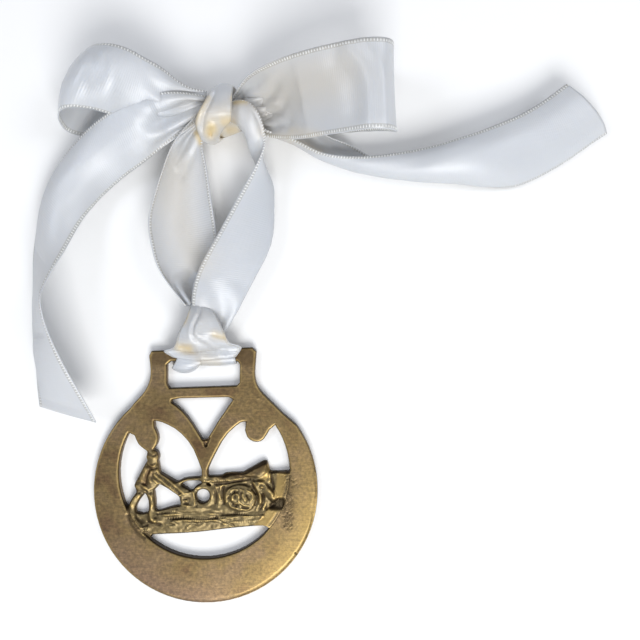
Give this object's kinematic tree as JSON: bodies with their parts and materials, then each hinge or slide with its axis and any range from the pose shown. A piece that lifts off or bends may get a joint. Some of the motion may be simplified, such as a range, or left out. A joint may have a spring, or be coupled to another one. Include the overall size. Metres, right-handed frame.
{
  "type": "horse brass with ribbon hanger",
  "caption": "Round pierced brass with a ploughing scene in relief, its slotted hanger threaded by a satin ribbon tied in a bow.",
  "frame": {"origin": "middle of the bounding box of the whole part, on the surface it lies on", "axes": "+Z out of the brass's face, +Y from the brass towards the bow, +X to the right as the face is looked at"},
  "size_m": [0.1956, 0.1794, 0.0408],
  "materials": {
    "brass": "aged cast brass, worn satin on the rim, dark patina in the recesses",
    "ribbon": "ivory satin weave with a picot edge"
  },
  "bodies": {
    "root": {"horse_brass": "brass", "ribbon": "ribbon"}
  },
  "joints": []
}
